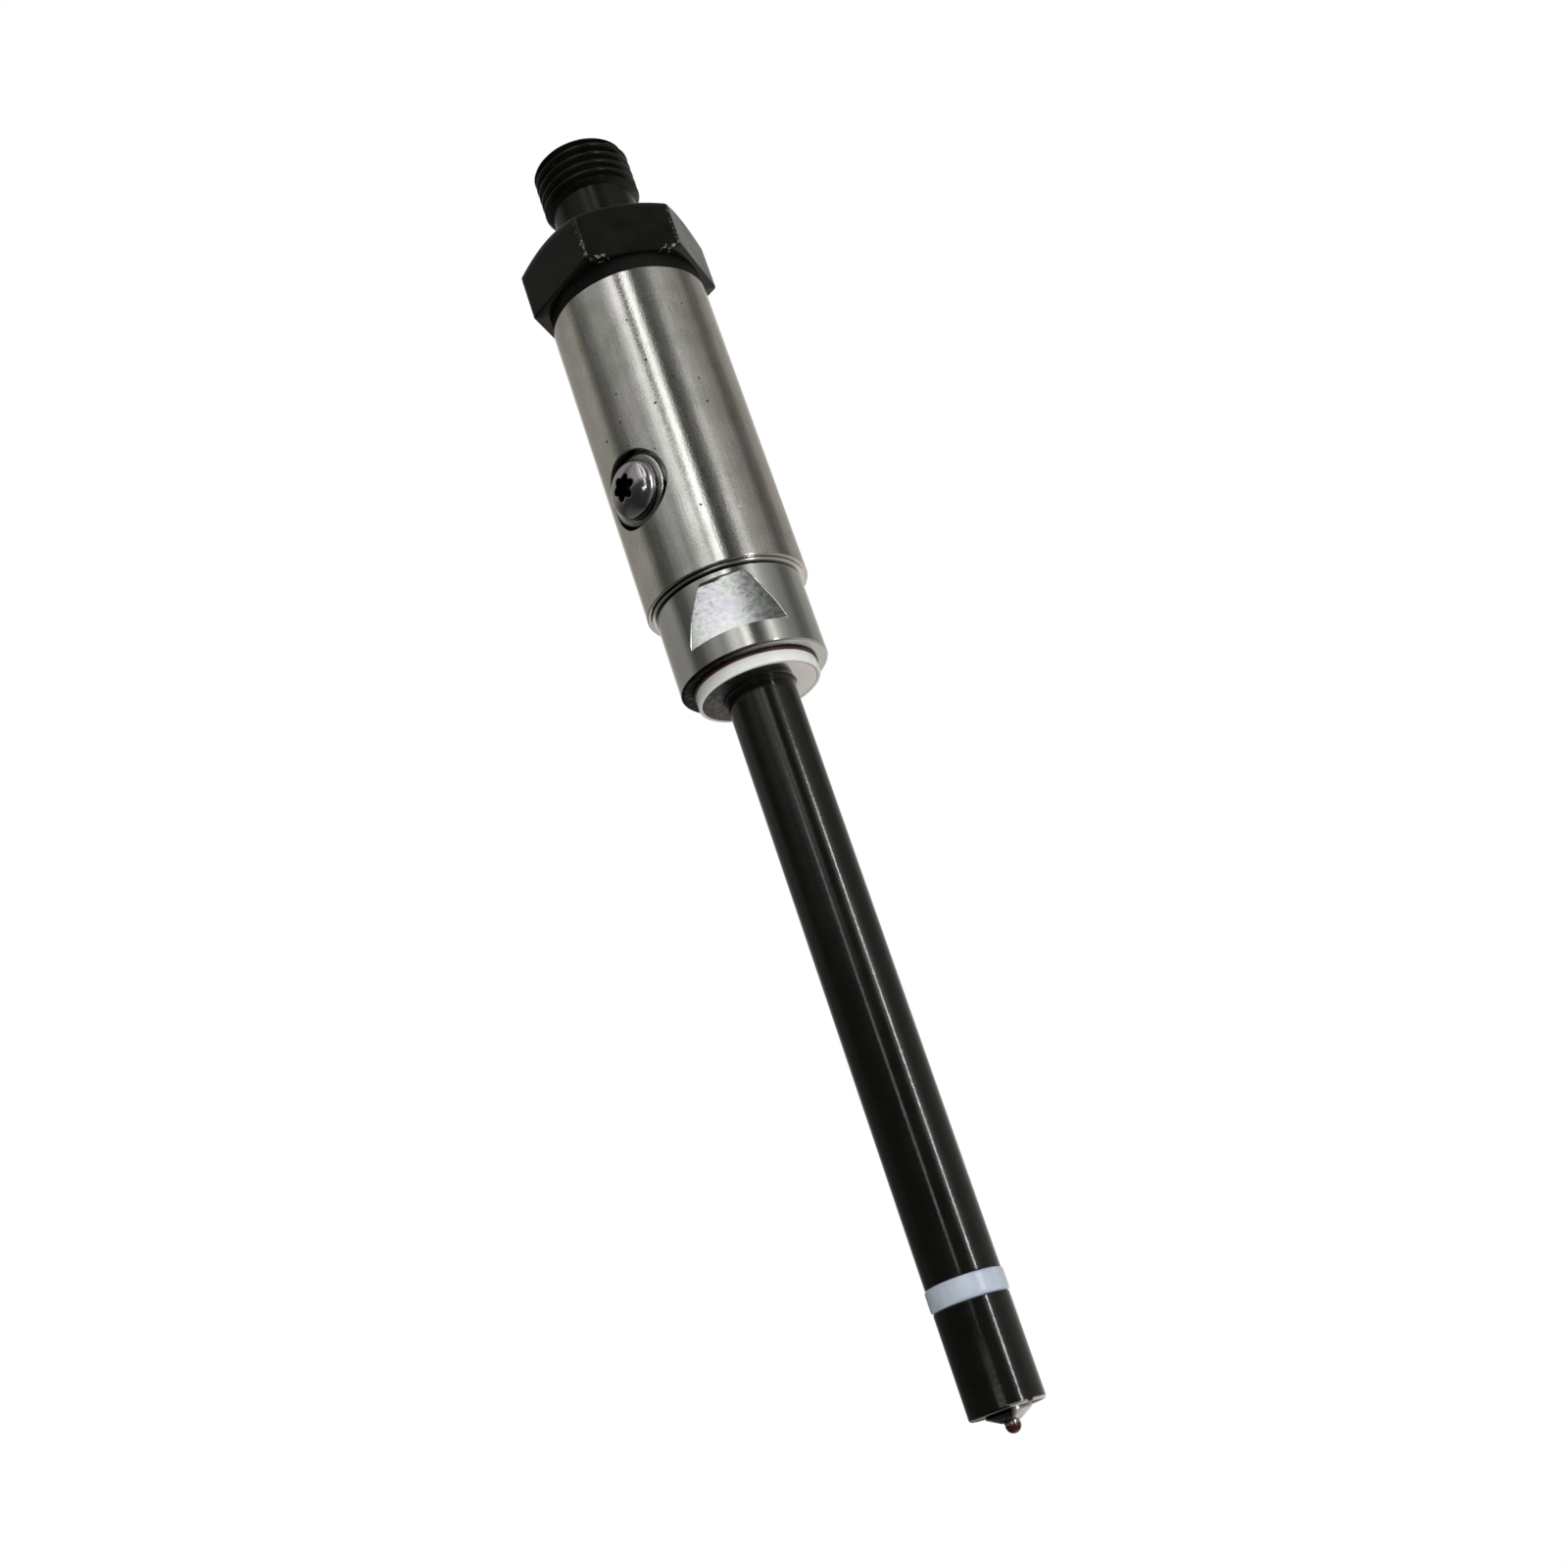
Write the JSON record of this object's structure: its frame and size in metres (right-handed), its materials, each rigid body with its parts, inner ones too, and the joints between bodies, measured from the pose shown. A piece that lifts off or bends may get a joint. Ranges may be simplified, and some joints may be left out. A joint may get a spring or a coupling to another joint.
{
  "type": "diesel fuel injector",
  "caption": "Slim pencil-type diesel injector: threaded inlet and hexagon, barrel with a bleed screw, clamped long stem with a spray tip, and a sprung needle valve.",
  "frame": {"origin": "on the injector's axis, in the face of the seat washer that rests on the cylinder head", "axes": "+Z runs along the axis towards the fuel inlet, so the stem and tip lie below the origin; -Y is the outward side of the front spanner flat; +X completes a right-handed frame"},
  "size_m": [0.026, 0.0264, 0.1866],
  "materials": {
    "black_steel": "black oxide on machined steel, semi-gloss, with small bright chips on the hexagon's edges",
    "stem_black": "smooth glossy black oxide",
    "barrel_steel": "satin bright steel, faintly speckled, drawn along its length",
    "nut_steel": "satin bright steel with frosty milled flats",
    "bright_steel": "bright steel",
    "tip_steel": "ground steel with a red-brown heat tint on the round end",
    "ground_steel": "ground hardened steel",
    "spring_steel": "dark oil-tempered wire",
    "copper": "annealed copper",
    "filter_brass": "matt brass",
    "white_seal": "white plastic, lightly polished",
    "washer_metal": "grey rolled metal",
    "dam_plastic": "bluish-white fluoroplastic, waxy",
    "red_seal": "dark red-brown rubber"
  },
  "bodies": {
    "holder": {"inlet_fitting": "black_steel", "inlet_gasket": "copper", "filter_collar": "filter_brass", "filter_screen": "filter_brass", "filter_end_cap": "filter_brass", "filter_clip": "ground_steel", "barrel": "barrel_steel", "joint_ring": "bright_steel", "retaining_nut": "nut_steel", "stem_gasket": "copper", "guide_dowels": "ground_steel", "valve_guide": "ground_steel", "nozzle_stem": "stem_black", "nozzle_tip": "tip_steel", "valve_spring": "spring_steel", "pressure_shims": "ground_steel", "upper_spring_seat": "ground_steel", "lift_stop_pin": "ground_steel", "seal_ring": "red_seal", "seat_washer": "white_seal", "seat_washer_plate": "washer_metal", "carbon_dam": "dam_plastic"},
    "needle": {"needle_valve": "ground_steel", "spring_seat": "ground_steel"},
    "bleed_carrier": {"bleed_washer": "bright_steel"},
    "bleed_screw": {"bleed_screw": "bright_steel"}
  },
  "joints": [
    {"name": "needle_lift", "type": "slide", "parent": "holder", "child": "needle", "axis": [0, 0, 1], "range_m": [0, 0.0003], "stiffness_N_per_m": 20000, "deforming": ["valve_spring"]},
    {"name": "bleed_screw_out", "type": "slide", "parent": "holder", "child": "bleed_carrier", "axis": [-0.6494, -0.7604, 0], "range_m": [0, 0.0008]},
    {"name": "bleed_screw_turn", "type": "hinge", "parent": "bleed_carrier", "child": "bleed_screw", "pos_m": [0, 0, 0.0301], "axis": [-0.6494, -0.7604, 0], "range_deg": [0, 360]}
  ],
  "couplings": [
    {"joint": "bleed_screw_turn", "follows": "bleed_screw_out", "rad_per_m": 7854}
  ]
}
